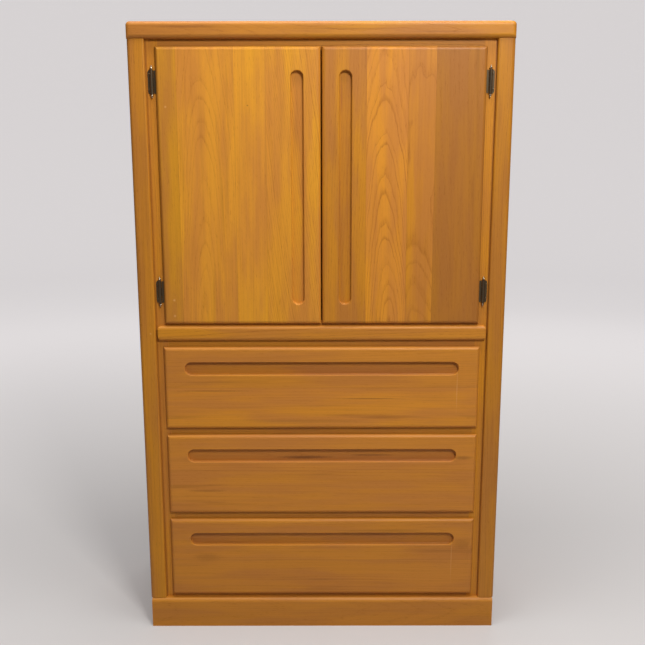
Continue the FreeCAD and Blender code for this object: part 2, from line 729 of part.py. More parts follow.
def screw(length, side, height, reach, seat, head_back):
    """Slotted round-head screw along Y; head_back puts the head behind the seat."""
    body = new_body("screw")
    forward = "-1" if head_back else "1"
    shank_low = "-" + length if head_back else "0"
    head_low = "0" if head_back else "-Dims.screw_head_height"
    body_cylinder(body, "Additive", "Dims.screw_shank_radius", length, y=shank_low,
                  along_y=True)
    body_cylinder(body, "Additive", "Dims.screw_head_radius", "Dims.screw_head_height",
                  y=head_low, along_y=True)
    crown = value("screw_head_height") * (1 if head_back else -1)
    round_edges(body, "Dims.screw_head_height * 0.8",
                lambda box: at(box.YMin, box.YMax, crown))
    rim = "Dims.screw_head_radius"
    top_face = f"(-{forward} * Dims.screw_head_height)"
    slot_face = f"({top_face} + {forward} * Dims.screw_slot_depth)"
    slot = (slot_face, top_face) if head_back else (top_face, slot_face)
    body_box(body, "Subtractive", (f"-{rim}", rim), slot,
             ("-Dims.screw_slot_width / 2", "Dims.screw_slot_width / 2"))
    return place(body, x=f"{side} * {reach}", y=seat, z=height)


def hinges():
    """Two hinges per door: leaves, pins and screws."""
    pins, frame_screws = [], []
    frame_seat = f"({FRAME_FRONT} - Dims.leaf_thickness)"
    door_seat = f"({FRONTS_BACK} + Dims.leaf_thickness)"
    for side in (LEFT, RIGHT):
        name = SIDE_NAMES[side]
        heights = hinge_heights()
        group(f"{name}_hinge_frame_leaves", [frame_leaf(side, height) for height in heights])
        group(f"{name}_hinge_door_leaves", [door_leaf(side, height) for height in heights])
        pins += [hinge_pin(side, height) for height in heights]
        door_screws = []
        for height in heights:
            for level in (-1, 1):
                frame_screws.append(screw(
                    "Dims.screw_length", side,
                    f"{height} + {level} * Dims.frame_screw_height",
                    "(Dims.hinge_reach + Dims.frame_screw_reach)", frame_seat, False))
                door_screws.append(screw(
                    "Dims.door_screw_length", side,
                    f"{height} + {level} * Dims.flange_screw_height",
                    "(Dims.hinge_reach - Dims.flange_screw_reach)", door_seat, True))
        group(f"{name}_hinge_door_screws", door_screws)
    group("hinge_pins", pins)
    group("hinge_frame_screws", frame_screws)


def catch():
    """Magnetic catch under the top rail, and a strike plate on each door."""
    plates_back = f"({FRONTS_BACK} + Dims.strike_thickness)"
    catch_front = f"({plates_back} + Dims.strike_gap)"
    board("door_catch", ("-Dims.catch_half_width", "Dims.catch_half_width"),
          (catch_front, f"{catch_front} + Dims.catch_depth"),
          (f"{DOOR_OPENING_TOP} - Dims.catch_height", DOOR_OPENING_TOP))
    strike_top = f"({DOOR_OPENING_TOP} - Dims.lip_clearance * 2)"
    for side in (LEFT, RIGHT):
        board(f"{SIDE_NAMES[side]}_strike_plate",
              span(side, "Dims.strike_inner_reach",
                   "(Dims.strike_inner_reach + Dims.strike_width)"),
              (FRONTS_BACK, plates_back), (f"{strike_top} - Dims.strike_height", strike_top))


def check_document():
    """Stop if any object failed or any sub-part is not a sound shape."""
    document.recompute()
    for item in document.Objects:
        if "Invalid" in item.State or "Error" in item.State:
            raise RuntimeError(f"{item.Label} failed: {item.State}")
    for label, piece in parts.items():
        if piece.Shape.isNull() or not piece.Shape.isValid() or not piece.Shape.Solids:
            raise RuntimeError(f"{label} has no sound shape")


def write_parts():
    os.makedirs("parts", exist_ok=True)
    for label, piece in parts.items():
        piece.Shape.exportStep(f"parts/{label}.step")
        print(f"{label}: {len(piece.Shape.Solids)} solid(s), {piece.Shape.Volume / 1000:.1f} cm3")
    print(f"{len(parts)} sub-parts written")


fill_sheet()
for hand in (LEFT, RIGHT):
    side_panel(hand)
    post(hand)
    door_panel(hand)
face_frame()
mid_rail_moulding()
panels()
top()
plinth()
shelf_and_pegs()
for drawer_level in range(DRAWER_COUNT):
    drawer_front(drawer_level)
    drawer_box(drawer_level)
    for hand in (LEFT, RIGHT):
        drawer_runner(drawer_level, hand)
hinges()
catch()
check_document()
write_parts()
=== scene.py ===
"""Looks of a free-standing oak armoire: finishes, studio light and camera.

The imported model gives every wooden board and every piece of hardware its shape. This
script dresses them. All sizes are metres in the model's own frame: +Z is up, the front
faces -Y and the origin is on the floor below the middle of the case.
"""

from __future__ import annotations

import logging
import math
from dataclasses import dataclass, field
from enum import Enum

import bpy
import numpy as np
from mathutils import Euler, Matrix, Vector


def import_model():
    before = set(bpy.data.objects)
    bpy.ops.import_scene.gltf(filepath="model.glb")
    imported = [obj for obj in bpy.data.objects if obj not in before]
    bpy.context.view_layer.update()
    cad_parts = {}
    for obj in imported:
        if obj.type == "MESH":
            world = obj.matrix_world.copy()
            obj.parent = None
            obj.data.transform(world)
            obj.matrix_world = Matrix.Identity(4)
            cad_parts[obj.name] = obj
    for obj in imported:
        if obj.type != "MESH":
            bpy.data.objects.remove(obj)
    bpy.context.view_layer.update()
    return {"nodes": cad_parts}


LOG = logging.getLogger("armoire")
Colour = tuple[float, float, float]
Cells = tuple[float, float, float]

# Colours of streaks in the wood. The dark streak colour is also painted shade: dark lines that
# stand in for the shadow in grooves and on shaded rounded edges.
RED_STREAK: Colour = (0.30, 0.085, 0.025)
DARK_STREAK_AND_SHADE: Colour = (0.25, 0.085, 0.012)
MINERAL: Colour = (0.14, 0.045, 0.012)

# A place across the panel that lies before every first board.
PANEL_START = -10.0

# Sizes of the armoire that the finishes follow, in metres.
DOOR_MIDDLE = 1.222
DOOR_SLOT_MIDDLE = 1.219
TOP_DRAWER_SLOT = 0.749
DRAWER_PITCH = 0.244
EDGE_RADIUS = 0.0025

# Noise cells per metre across, into and along a board.
WANDER_CELLS: Cells = (5.0, 5.0, 1.6)
WOBBLE_CELLS: Cells = (40.0, 40.0, 11.0)
PORE_CELLS: Cells = (540.0, 540.0, 66.0)
FIBRE_CELLS: Cells = (210.0, 210.0, 4.5)
DRIFT_CELLS: Cells = (7.0, 7.0, 1.3)
ZONE_CELLS: Cells = (30.0, 30.0, 3.4)
STREAK_CELLS: Cells = (46.0, 46.0, 2.4)

# Noise cells per metre, the same along every axis.
RAGGED_CELLS: Cells = (260.0, 260.0, 260.0)
PLATING_CELLS: Cells = (180.0, 180.0, 180.0)
SPARK_CELLS: Cells = (1500.0, 1500.0, 1500.0)


# ---- node helper


class Graph:
    """Places and links nodes in one shader tree or shader group."""

    def __init__(self, tree: bpy.types.NodeTree) -> None:
        """Keep the material's tree or the group that the nodes go into."""
        self.tree = tree

    def add(self, kind: str, **settings: object) -> bpy.types.Node:
        """Add one node.

        Args:
            kind: The node's type name after ShaderNode.
            **settings: Properties to set on the node.

        Returns:
            The new node.
        """
        node = self.tree.nodes.new(kind if kind.startswith("Node") else f"ShaderNode{kind}")
        for name, setting in settings.items():
            setattr(node, name, setting)
        return node

    def feed(self, socket: bpy.types.NodeSocket, source: object) -> None:
        """Link an input to another node's socket, or set it to a number or a tuple."""
        if isinstance(source, bpy.types.NodeSocket):
            self.tree.links.new(source, socket)
        else:
            socket.default_value = source

    def maths(self, operation: str, *inputs: object, clamp: bool = False) -> bpy.types.NodeSocket:
        """Add a Math node and return its result."""
        node = self.add("Math", operation=operation, use_clamp=clamp)
        for socket, source in zip(node.inputs, inputs):
            self.feed(socket, source)
        return node.outputs[0]

    def vector(self, operation: str, *inputs: object) -> bpy.types.NodeSocket:
        """Add a Vector Math node and return its vector result."""
        node = self.add("VectorMath", operation=operation)
        for socket, source in zip(node.inputs, inputs):
            self.feed(socket, source)
        return node.outputs[0]

    def ramp(self, source: object, low: float, high: float, bottom: float = 0.0,
             top: float = 1.0) -> bpy.types.NodeSocket:
        """Map a value from low..high to bottom..top with a smooth step.

        Args:
            source: The value to map.
            low: Value that gives bottom.
            high: Value that gives top.
            bottom: Result at and beyond low.
            top: Result at and beyond high.

        Returns:
            The mapped value.
        """
        node = self.add("MapRange", interpolation_type="SMOOTHSTEP")
        for name, value in (("Value", source), ("From Min", low), ("From Max", high),
                            ("To Min", bottom), ("To Max", top)):
            self.feed(node.inputs[name], value)
        return node.outputs["Result"]

    def noise(self, position: object, stretch: Cells,
              detail: float = 2.0) -> bpy.types.NodeSocket:
        """Noise from 0 to 1 with its own count of cells per metre along each axis.

        Args:
            position: Vector to read the noise at.
            stretch: Cells per metre along each axis.
            detail: Octaves of finer noise.

        Returns:
            The noise value.
        """
        node = self.add("TexNoise", noise_dimensions="3D")
        self.feed(node.inputs["Vector"], self.vector("MULTIPLY", position, stretch))
        node.inputs["Scale"].default_value = 1.0
        node.inputs["Detail"].default_value = detail
        return node.outputs["Fac"]

    def blend(self, share: object, first: object, second: object,
              mode: str = "MIX") -> bpy.types.NodeSocket:
        """Mix two colours and return the result.

        Args:
            share: How much of the second colour, from 0 to 1.
            first: Colour at share 0.
            second: Colour at share 1.
            mode: Name of the blend mode.

        Returns:
            The mixed colour.
        """
        node = self.add("Mix", data_type="RGBA", blend_type=mode)
        self.feed(node.inputs["Factor"], share)
        for name, colour in (("A", first), ("B", second)):
            socket = next(item for item in node.inputs
                          if item.name == name and item.type == "RGBA")
            self.feed(socket, (*colour, 1.0) if isinstance(colour, tuple) else colour)
        return next(item for item in node.outputs if item.type == "RGBA")

    def length(self, vector: object) -> bpy.types.NodeSocket:
        """Add a node that measures a vector and return its length."""
        node = self.add("VectorMath", operation="LENGTH")
        self.feed(node.inputs[0], vector)
        return node.outputs["Value"]

    def relief(self, shader: bpy.types.Node, height: object, strength: float,
               distance: float) -> None:
        """Give a shader a fine relief.

        Args:
            shader: The shader whose normal is turned.
            height: Height from 0 to 1.
            strength: How strongly the relief shows.
            distance: How deep it is, in metres.
        """
        bump = self.add("Bump")
        bump.inputs["Strength"].default_value = strength
        bump.inputs["Distance"].default_value = distance
        self.feed(bump.inputs["Height"], height)
        self.feed(shader.inputs["Normal"], bump.outputs["Normal"])


def new_material(name: str) -> tuple[bpy.types.Material, Graph, bpy.types.Node,
                                     bpy.types.NodeSocket]:
    """Start a material.

    Args:
        name: Name of the material.

    Returns:
        The material, its graph, its shader and the Object coordinates.
    """
    made = bpy.data.materials.new(name)
    made.use_nodes = True
    graph = Graph(made.node_tree)
    return (made, graph, made.node_tree.nodes["Principled BSDF"],
            graph.add("TexCoord").outputs["Object"])


def new_group(name: str, inputs: dict[str, object], outputs: dict[str, str]
              ) -> tuple[Graph, dict, dict]:
    """Start a shader group with named sockets.

    Args:
        name: Name of the group.
        inputs: Socket name to its default, a number or "vector".
        outputs: Socket name to its socket type.

    Returns:
        The group's graph, its input sockets by name and its output sockets by name.
    """
    tree = bpy.data.node_groups.new(name, "ShaderNodeTree")
    for label, default in inputs.items():
        kind = "NodeSocketVector" if default == "vector" else "NodeSocketFloat"
        socket = tree.interface.new_socket(name=label, in_out="INPUT", socket_type=kind)
        if kind == "NodeSocketFloat":
            socket.default_value = default
    for label, kind in outputs.items():
        tree.interface.new_socket(name=label, in_out="OUTPUT", socket_type=kind)
    graph = Graph(tree)
    entry, leave = graph.add("NodeGroupInput"), graph.add("NodeGroupOutput")
    return (graph, {item.name: item for item in entry.outputs},
            {item.name: item for item in leave.inputs})


# ---- shared effects


class SharedEffects:
    """Shader groups that several finishes use, each built once."""

    def __init__(self) -> None:
        """Build every group."""
        self.grain = self._oak_grain()
        self.wear = self._edge_wear()

    @staticmethod
    def _oak_grain() -> bpy.types.NodeTree:
        """Grain of a sawn oak board.

        Growth rings are circles about a pith line that runs along the board at some depth
        below its face and drifts with height, so a face cut near the pith shows arches and
        one cut far to its side shows straight lines. The ring number is the distance to the
        pith over the ring spacing, and each ring starts with a dark band of open pores.

        Returns:
            The group.
        """
        graph, given, result = new_group(
            "oak_grain",
            {"Position": "vector", "Seed": 0.0, "Pith Across": 0.0, "Pith Depth": 0.04,
             "Taper": 0.03, "Slant": 0.0, "Ring Spacing": 0.004, "Waviness": 0.012},
            {"Rings": "NodeSocketFloat", "Pores": "NodeSocketFloat", "Fibre": "NodeSocketFloat",
             "Drift": "NodeSocketFloat", "Zone": "NodeSocketFloat", "Streak": "NodeSocketFloat",
             "Height": "NodeSocketFloat"})
        shift = graph.vector("MULTIPLY", (1.73, 0.91, 3.37), given["Seed"])
        place = graph.vector("ADD", given["Position"], shift)
        axes = graph.add("SeparateXYZ")
        graph.feed(axes.inputs[0], given["Position"])
        wander = graph.maths("SUBTRACT", graph.noise(place, WANDER_CELLS, 1.0), 0.5)
        wobble = graph.maths("SUBTRACT", graph.noise(place, WOBBLE_CELLS), 0.5)
        wave = graph.maths("MULTIPLY", wander, given["Waviness"])
        across = graph.maths("ADD", graph.maths("SUBTRACT", axes.outputs[0],
                                                given["Pith Across"]), wave)
        across = graph.maths("MULTIPLY_ADD", axes.outputs[2], given["Slant"], across)
        below = graph.maths("ADD", axes.outputs[1], given["Pith Depth"])
        below = graph.maths("MULTIPLY_ADD", axes.outputs[2], given["Taper"], below)
        below = graph.maths("MULTIPLY_ADD", wave, 1.5, below)
        radius = graph.maths("SQRT", graph.maths("ADD", graph.maths("MULTIPLY", across, across),
                                                 graph.maths("MULTIPLY", below, below)))
        radius = graph.maths("MULTIPLY_ADD", wobble,
                             graph.maths("MULTIPLY", given["Waviness"], 0.13), radius)
        ring = graph.maths("ADD", graph.maths("DIVIDE", radius, given["Ring Spacing"]),
                           given["Seed"])
        uneven = graph.add("TexNoise", noise_dimensions="1D")
        graph.feed(uneven.inputs["W"], graph.maths("MULTIPLY", ring, 0.45))
        uneven.inputs["Scale"].default_value = 1.0
        ring = graph.maths("MULTIPLY_ADD", uneven.outputs["Fac"], 1.6, ring)
        phase = graph.maths("FRACT", ring)
        number = graph.add("TexWhiteNoise", noise_dimensions="1D")
        graph.feed(number.inputs["W"], graph.maths("FLOOR", ring))
        strength = graph.ramp(number.outputs["Value"], 0.0, 1.0, 0.25, 1.0)
        opening = graph.ramp(phase, 0.0, 0.42, 1.0, 0.0)
        closing = graph.ramp(phase, 0.88, 1.0)
        early = graph.maths("MAXIMUM", opening, closing)
        rings = graph.maths("MULTIPLY", early, strength)
        pits = graph.ramp(graph.noise(place, PORE_CELLS, 1.0), 0.54, 0.68)
        pores = graph.maths("MULTIPLY", pits, graph.maths("MULTIPLY_ADD", early, 0.7, 0.3))
        fibre = graph.noise(place, FIBRE_CELLS, 3.0)
        drift = graph.noise(place, DRIFT_CELLS)
        zone = graph.noise(place, ZONE_CELLS, 3.0)
        streak = graph.ramp(graph.noise(place, STREAK_CELLS, 3.0), 0.60, 0.78)
        sunk = graph.maths("MULTIPLY_ADD", early, 0.35, pores)
        height = graph.maths("SUBTRACT", 1.0, sunk)
        for name, value in (("Rings", rings), ("Pores", pores), ("Fibre", fibre),
                            ("Drift", drift), ("Zone", zone), ("Streak", streak),
                            ("Height", height)):
            graph.feed(result[name], value)
        return graph.tree

    @staticmethod
    def _edge_wear() -> bpy.types.NodeTree:
        """Mask of rubbed edges: where a rounded normal leaves the true one, broken by noise.

        Returns:
            The group.
        """
        graph, given, result = new_group(
            "edge_wear", {"Position": "vector", "Amount": 0.5, "Patches": 30.0},
            {"Mask": "NodeSocketFloat"})
        rounded = graph.add("Bevel", samples=4)
        rounded.inputs["Radius"].default_value = EDGE_RADIUS
        true_normal = graph.add("NewGeometry").outputs["Normal"]
        turn = graph.add("VectorMath", operation="DOT_PRODUCT")
        graph.feed(turn.inputs[0], rounded.outputs[0])
        graph.feed(turn.inputs[1], true_normal)
        edge = graph.ramp(turn.outputs["Value"], 0.99, 0.86)
        scaled = graph.vector("MULTIPLY", given["Position"], given["Patches"])
        patch = graph.ramp(graph.noise(scaled, (1.0, 1.0, 1.0), 3.0), 0.42, 0.62)
        graph.feed(result["Mask"], graph.maths(
            "MULTIPLY", graph.maths("MULTIPLY", edge, patch), given["Amount"]))
        return graph.tree


# ---- finishes


def scaled(colour: Colour, factor: float) -> Colour:
    """Make a colour brighter or darker."""
    return tuple(min(1.0, channel * factor) for channel in colour)


class Layout(Enum):
    """Which model axes run across, into and along a board (0 is X, 1 is Y, 2 is Z)."""

    UPRIGHT_FRONT = (0, 1, 2)
    LEVEL_FRONT = (2, 1, 0)
    UPRIGHT_SIDE = (1, 0, 2)
    DEEP_SIDE = (2, 0, 1)
    LEVEL_TOP = (1, 2, 0)
    DEEP_TOP = (0, 2, 1)


@dataclass(frozen=True)
class Board:
    """One board of an edge-glued panel.

    Attributes:
        start: Where the board begins across the panel. The first board needs none.
        tone: Brightness compared with the finish's own colours.
        brown: Share of the browner tint.
        pith: Where the pith line lies across the panel.
        depth: How far the pith lies beyond the model's own middle plane.
        seed: Picks the board's own pattern.
        slant: How far the grain leans across the board per metre along it.
        figure: How strongly its rings show compared with the finish's contrast.
        taper: How fast the pith line leaves the face along the board.
    """

    start: float = PANEL_START
    tone: float = 1.0
    brown: float = 0.0
    pith: float = 0.0
    depth: float = 0.05
    seed: float = 0.0
    slant: float = 0.0
    figure: float = 1.0
    taper: float = 0.035


@dataclass(frozen=True)
class Mark:
    """A small knock, fleck, scratch or streak in the lacquer of a front face, or a line of
    painted shade.

    Attributes:
        x: Place across the case.
        z: Height.
        half_width: Half its width.
        half_height: Half its height.
        shade: Its colour.
        strength: How strongly it shows.
        solid: Distance from its middle, as a share of its half size, where it starts to fade.
        faded: Distance at which it is gone.
    """

    x: float
    z: float
    half_width: float = 0.004
    half_height: float = 0.004
    shade: Colour = (0.80, 0.46, 0.17)
    strength: float = 0.5
    solid: float = 0.45
    faded: float = 1.35

    @classmethod
    def painted_shade_line(cls, x: float, half_width: float, half_height: float, strength: float) -> Mark:
        """Painted shade: a dark upright line that stands in for the shadow in a groove beside a
        joint or on a shaded rounded edge, strongest at the doors' middle height.
        """
        return cls(x, DOOR_MIDDLE, half_width, half_height, DARK_STREAK_AND_SHADE, strength)


@dataclass(frozen=True)
class Slot:
    """A routed finger slot whose floor is darkened with painted shade, standing in for the shade
    inside the recess.

    Attributes:
        x: Its middle across the case.
        z: Its middle height.
        half_width: Half its width.
        half_height: Half its height.
        brink: Where along Y it starts to darken.
        wall: How much farther back it is fully dark.
        shade: What the colour is multiplied by on its floor, the painted shade.
    """

    x: float
    z: float
    half_width: float
    half_height: float
    brink: float = -0.2262
    wall: float = 0.004
    shade: Colour = (0.95, 0.95, 0.98)


@dataclass(frozen=True)
class OakFinish:
    """Honey-coloured satin lacquer on sawn oak.

    Attributes:
        name: Name of the material.
        layout: How the boards lie.
        boards: The boards, in order across the panel.
        light: Colour of the dense late wood.
        brown: Colour of a browner board's late wood.
        line: Colour of the porous early wood.
        contrast: How strongly the rings show.
        clouds: How strongly soft brown zones show.
        blush: How strongly broad, slow changes of tint show.
        fibres: How strongly fine lines along the board show.
        glue: How strongly the glue lines between boards show.
        flecks: How strongly the open pores show.
        streaks: How strongly dark mineral streaks show.
        spacing: Width of one growth ring.
        waviness: How far the rings wander.
        roughness: Roughness of the lacquer.
        wear: How strongly edges are rubbed.
        specular: Strength of the wood's own reflection.
        coat: Weight of the clear coat.
        coat_roughness: Roughness of the clear coat.
        marks: Knocks, flecks, scratches and streaks in the lacquer, and lines of painted shade.
        slot: The finger slot routed in the face, if it has one, with painted shade on its floor.
    """

    name: str
    layout: Layout
    boards: tuple[Board, ...] = (Board(),)
    light: Colour = (0.66, 0.265, 0.013)
    brown: Colour = (0.48, 0.178, 0.032)
    line: Colour = (0.33, 0.100, 0.006)
    contrast: float = 0.34
    clouds: float = 0.65
    blush: float = 0.45
    fibres: float = 0.15
    glue: float = 0.16
    flecks: float = 0.30
    streaks: float = 0.2
    spacing: float = 0.0055
    waviness: float = 0.03
    roughness: float = 0.44
    wear: float = 0.35
    specular: float = 0.26
    coat: float = 0.04
    coat_roughness: float = 0.30
    marks: tuple[Mark, ...] = ()
    slot: Slot | None = None

    def material(self, effects: SharedEffects) -> bpy.types.Material:
        """Build the material.

        Args:
            effects: The shared shader groups.

        Returns:
            The new material.
        """
        made, graph, shader, where = new_material(self.name)
        position, across = self._board_position(graph, where)
        numbers = self._board_numbers(graph, across)
        grain = graph.add("Group", node_tree=effects.grain)
        for socket, source in (("Position", position), ("Seed", numbers["seed"]),
                               ("Pith Across", numbers["pith"]),
                               ("Pith Depth", numbers["depth"]), ("Taper", numbers["taper"]),
                               ("Slant", numbers["slant"]),
                               ("Ring Spacing", self.spacing), ("Waviness", self.waviness)):
            graph.feed(grain.inputs[socket], source)
        shade = self._shade(graph, grain, numbers)
        wear = graph.add("Group", node_tree=effects.wear)
        graph.feed(wear.inputs["Position"], where)
        graph.feed(wear.inputs["Amount"], self.wear)
        shade = graph.blend(wear.outputs["Mask"], shade, scaled(self.light, 1.12))
        roughness = graph.maths("MULTIPLY_ADD", grain.outputs["Pores"], 0.25, self.roughness)
        # Painted shade on the slot's floor.
        if self.slot:
            shade = self._painted_slot_shade(graph, where, self.slot, shade)
        for mark in self.marks:
            shade = self._marked(graph, where, mark, shade)
        graph.feed(shader.inputs["Base Color"], shade)
        graph.feed(shader.inputs["Roughness"], roughness)
        shader.inputs["Specular IOR Level"].default_value = self.specular
        shader.inputs["Coat Weight"].default_value = self.coat
        shader.inputs["Coat Roughness"].default_value = self.coat_roughness
        graph.relief(shader, grain.outputs["Height"], strength=0.22, distance=0.0006)
        return made

    def _board_position(self, graph: Graph, where: bpy.types.NodeSocket
                        ) -> tuple[bpy.types.NodeSocket, bpy.types.NodeSocket]:
        """Turn the model's axes into across, into and along the board.

        Args:
            graph: The material's graph.
            where: Object coordinates.

        Returns:
            The position in board axes and its first part, the place across.
        """
        split, joined = graph.add("SeparateXYZ"), graph.add("CombineXYZ")
        graph.feed(split.inputs[0], where)
        for target, axis in zip(joined.inputs, self.layout.value):
            graph.feed(target, split.outputs[axis])
        return joined.outputs[0], split.outputs[self.layout.value[0]]

    def _board_numbers(self, graph: Graph, across: bpy.types.NodeSocket
                       ) -> dict[str, bpy.types.NodeSocket | float]:
        """Look up each board's own numbers from the place across the panel.

        Each number starts at the first board's value and steps by the difference to the
        next board's value at every joint.

        Args:
            graph: The material's graph.
            across: Place across the panel.

        Returns:
            The numbers by field name, and "joint", a mask of the glue lines.
        """
        names = ("tone", "brown", "pith", "depth", "seed", "slant", "figure", "taper")
        numbers: dict[str, bpy.types.NodeSocket | float] = {
            name: getattr(self.boards[0], name) for name in names}
        numbers["joint"] = 0.0
        for before, after in zip(self.boards, self.boards[1:]):
            beyond = graph.maths("GREATER_THAN", across, after.start)
            for name in names:
                change = getattr(after, name) - getattr(before, name)
                if change:
                    numbers[name] = graph.maths("MULTIPLY_ADD", beyond, change, numbers[name])
            away = graph.maths("ABSOLUTE", graph.maths("SUBTRACT", across, after.start))
            line = graph.ramp(away, 0.0004, 0.0011, 1.0, 0.0)
            numbers["joint"] = graph.maths("MAXIMUM", numbers["joint"], line)
        return numbers

    def _shade(self, graph: Graph, grain: bpy.types.Node,
               numbers: dict[str, bpy.types.NodeSocket | float]) -> bpy.types.NodeSocket:
        """Colour of the wood from its grain and its board.

        Args:
            graph: The material's graph.
            grain: The placed grain group.
            numbers: The board's own numbers.

        Returns:
            The colour.
        """
        out = grain.outputs
        base = graph.blend(numbers["brown"], self.light, self.brown)
        blush = graph.ramp(out["Drift"], 0.35, 0.70, 0.0, self.blush)
        base = graph.blend(blush, base, scaled(self.brown, 1.2))
        zone = graph.ramp(out["Zone"], 0.36, 0.66, 0.0, self.clouds)
        base = graph.blend(zone, base, scaled(self.brown, 1.05))
        lines = graph.maths("MULTIPLY", out["Rings"],
                            graph.maths("MULTIPLY", numbers["figure"], self.contrast))
        fibre = graph.ramp(out["Fibre"], 0.40, 0.75, 0.0, self.fibres)
        lines = graph.maths("ADD", lines, graph.maths("MULTIPLY", out["Pores"], self.flecks))
        lines = graph.maths("ADD", lines, fibre, clamp=True)
        base = graph.blend(lines, base, self.line)
        streak = graph.maths("MULTIPLY", out["Streak"], self.streaks)
        base = graph.blend(streak, base, scaled(self.line, 0.55))
        base = graph.blend(graph.maths("MULTIPLY", numbers["joint"], self.glue), base,
                           scaled(self.line, 0.6))
        bright = graph.add("CombineXYZ")
        for socket in bright.inputs:
            graph.feed(socket, numbers["tone"])
        return graph.blend(1.0, base, bright.outputs[0], mode="MULTIPLY")

    @staticmethod
    def _painted_slot_shade(graph: Graph, where: bpy.types.NodeSocket, slot: Slot,
                shade: bpy.types.NodeSocket) -> bpy.types.NodeSocket:
        """Paint shade into a slot: darken it inside its rectangle and behind its brink.

        Args:
            graph: The material's graph.
            where: Object coordinates.
            slot: The slot.
            shade: The colour so far.

        Returns:
            The colour with the darker slot.
        """
        split = graph.add("SeparateXYZ")
        graph.feed(split.inputs[0], where)
        reach = []
        for place, middle, half in ((split.outputs[0], slot.x, slot.half_width),
                                    (split.outputs[2], slot.z, slot.half_height)):
            away = graph.maths("ABSOLUTE", graph.maths("SUBTRACT", place, middle))
            reach.append(graph.maths("LESS_THAN", away, half))
        deep = graph.ramp(split.outputs[1], slot.brink, slot.brink + slot.wall)
        inside = graph.maths("MULTIPLY", graph.maths("MULTIPLY", *reach), deep)
        return graph.blend(inside, shade, slot.shade, mode="MULTIPLY")

    @staticmethod
    def _marked(graph: Graph, where: bpy.types.NodeSocket, mark: Mark,
                shade: bpy.types.NodeSocket) -> bpy.types.NodeSocket:
        """Lay one mark over the colour, as a ragged ellipse with a soft edge.

        Args:
            graph: The material's graph.
            where: Object coordinates.
            mark: The mark.
            shade: The colour so far.

        Returns:
            The colour with the mark.
        """
        offset = graph.vector("SUBTRACT", where, (mark.x, 0.0, mark.z))
        offset = graph.vector("MULTIPLY", offset, (1.0 / mark.half_width, 0.0,
                                                   1.0 / mark.half_height))
        ragged = graph.maths("MULTIPLY", graph.noise(where, RAGGED_CELLS), 0.5)
        reach = graph.maths("ADD", graph.length(offset), ragged)
        share = graph.ramp(reach, mark.solid, mark.faded, mark.strength, 0.0)
        return graph.blend(share, shade, mark.shade)


@dataclass(frozen=True)
class MetalFinish:
    """Plated or plain metal hardware, rubbed bright on its edges.

    Attributes:
        name: Name of the material.
        base: Colour of the dark plating.
        bright: Colour where the plating is rubbed through.
        roughness: Roughness of the plating.
        wear: How strongly edges are rubbed.
        mottle: How strongly the plating varies.
    """

    name: str
    base: Colour
    bright: Colour
    roughness: float = 0.3
    wear: float = 0.8
    mottle: float = 0.5

    def material(self, effects: SharedEffects) -> bpy.types.Material:
        """Build the material.

        Args:
            effects: The shared shader groups.

        Returns:
            The new material.
        """
        made, graph, shader, where = new_material(self.name)
        cloud = graph.ramp(graph.noise(where, PLATING_CELLS, 4.0), 0.35, 0.7)
        wear = graph.add("Group", node_tree=effects.wear)
        graph.feed(wear.inputs["Position"], where)
        graph.feed(wear.inputs["Amount"], self.wear)
        graph.feed(wear.inputs["Patches"], 220.0)
        dull = scaled(self.base, 0.45)
        shade = graph.blend(graph.maths("MULTIPLY", cloud, self.mottle), self.base, dull)
        shade = graph.blend(wear.outputs["Mask"], shade, self.bright)
        graph.feed(shader.inputs["Base Color"], shade)
        shader.inputs["Metallic"].default_value = 1.0
        graph.feed(shader.inputs["Roughness"],
                   graph.maths("MULTIPLY_ADD", cloud, 0.13, self.roughness))
        graph.relief(shader, cloud, strength=0.15, distance=0.0002)
        return made


@dataclass(frozen=True)
class PlasticFinish:
    """Moulded plastic with a fine spark-eroded texture.

    Attributes:
        name: Name of the material.
        base: Its colour.
        roughness: Its roughness.
    """

    name: str
    base: Colour
    roughness: float = 0.5

    def material(self, effects: SharedEffects) -> bpy.types.Material:
        """Build the material.

        Args:
            effects: The shared shader groups.

        Returns:
            The new material.
        """
        made, graph, shader, where = new_material(self.name)
        speckle = graph.noise(where, SPARK_CELLS)
        wear = graph.add("Group", node_tree=effects.wear)
        graph.feed(wear.inputs["Position"], where)
        pale = scaled(self.base, 1.6)
        shade = graph.blend(wear.outputs["Mask"], self.base, pale)
        graph.feed(shader.inputs["Base Color"], shade)
        graph.feed(shader.inputs["Roughness"],
                   graph.maths("MULTIPLY_ADD", speckle, 0.15, self.roughness))
        graph.relief(shader, speckle, strength=0.2, distance=0.0002)
        return made


# ---- assemblies


@dataclass
class Assembly:
    """A group of the model's nodes that are dressed together.

    Attributes:
        effects: The shared shader groups.
        nodes: The model's objects by node name.
    """

    effects: SharedEffects
    nodes: dict[str, bpy.types.Object]

    def dress(self, name: str, finish: OakFinish | MetalFinish | PlasticFinish) -> None:
        """Give a node its finish.

        Args:
            name: The node.
            finish: What it is finished in.
        """
        piece = self.nodes[name]
        made = bpy.data.materials.get(finish.name) or finish.material(self.effects)
        piece.data.materials.clear()
        piece.data.materials.append(made)
        LOG.info("dressed %s in %s", name, finish.name)


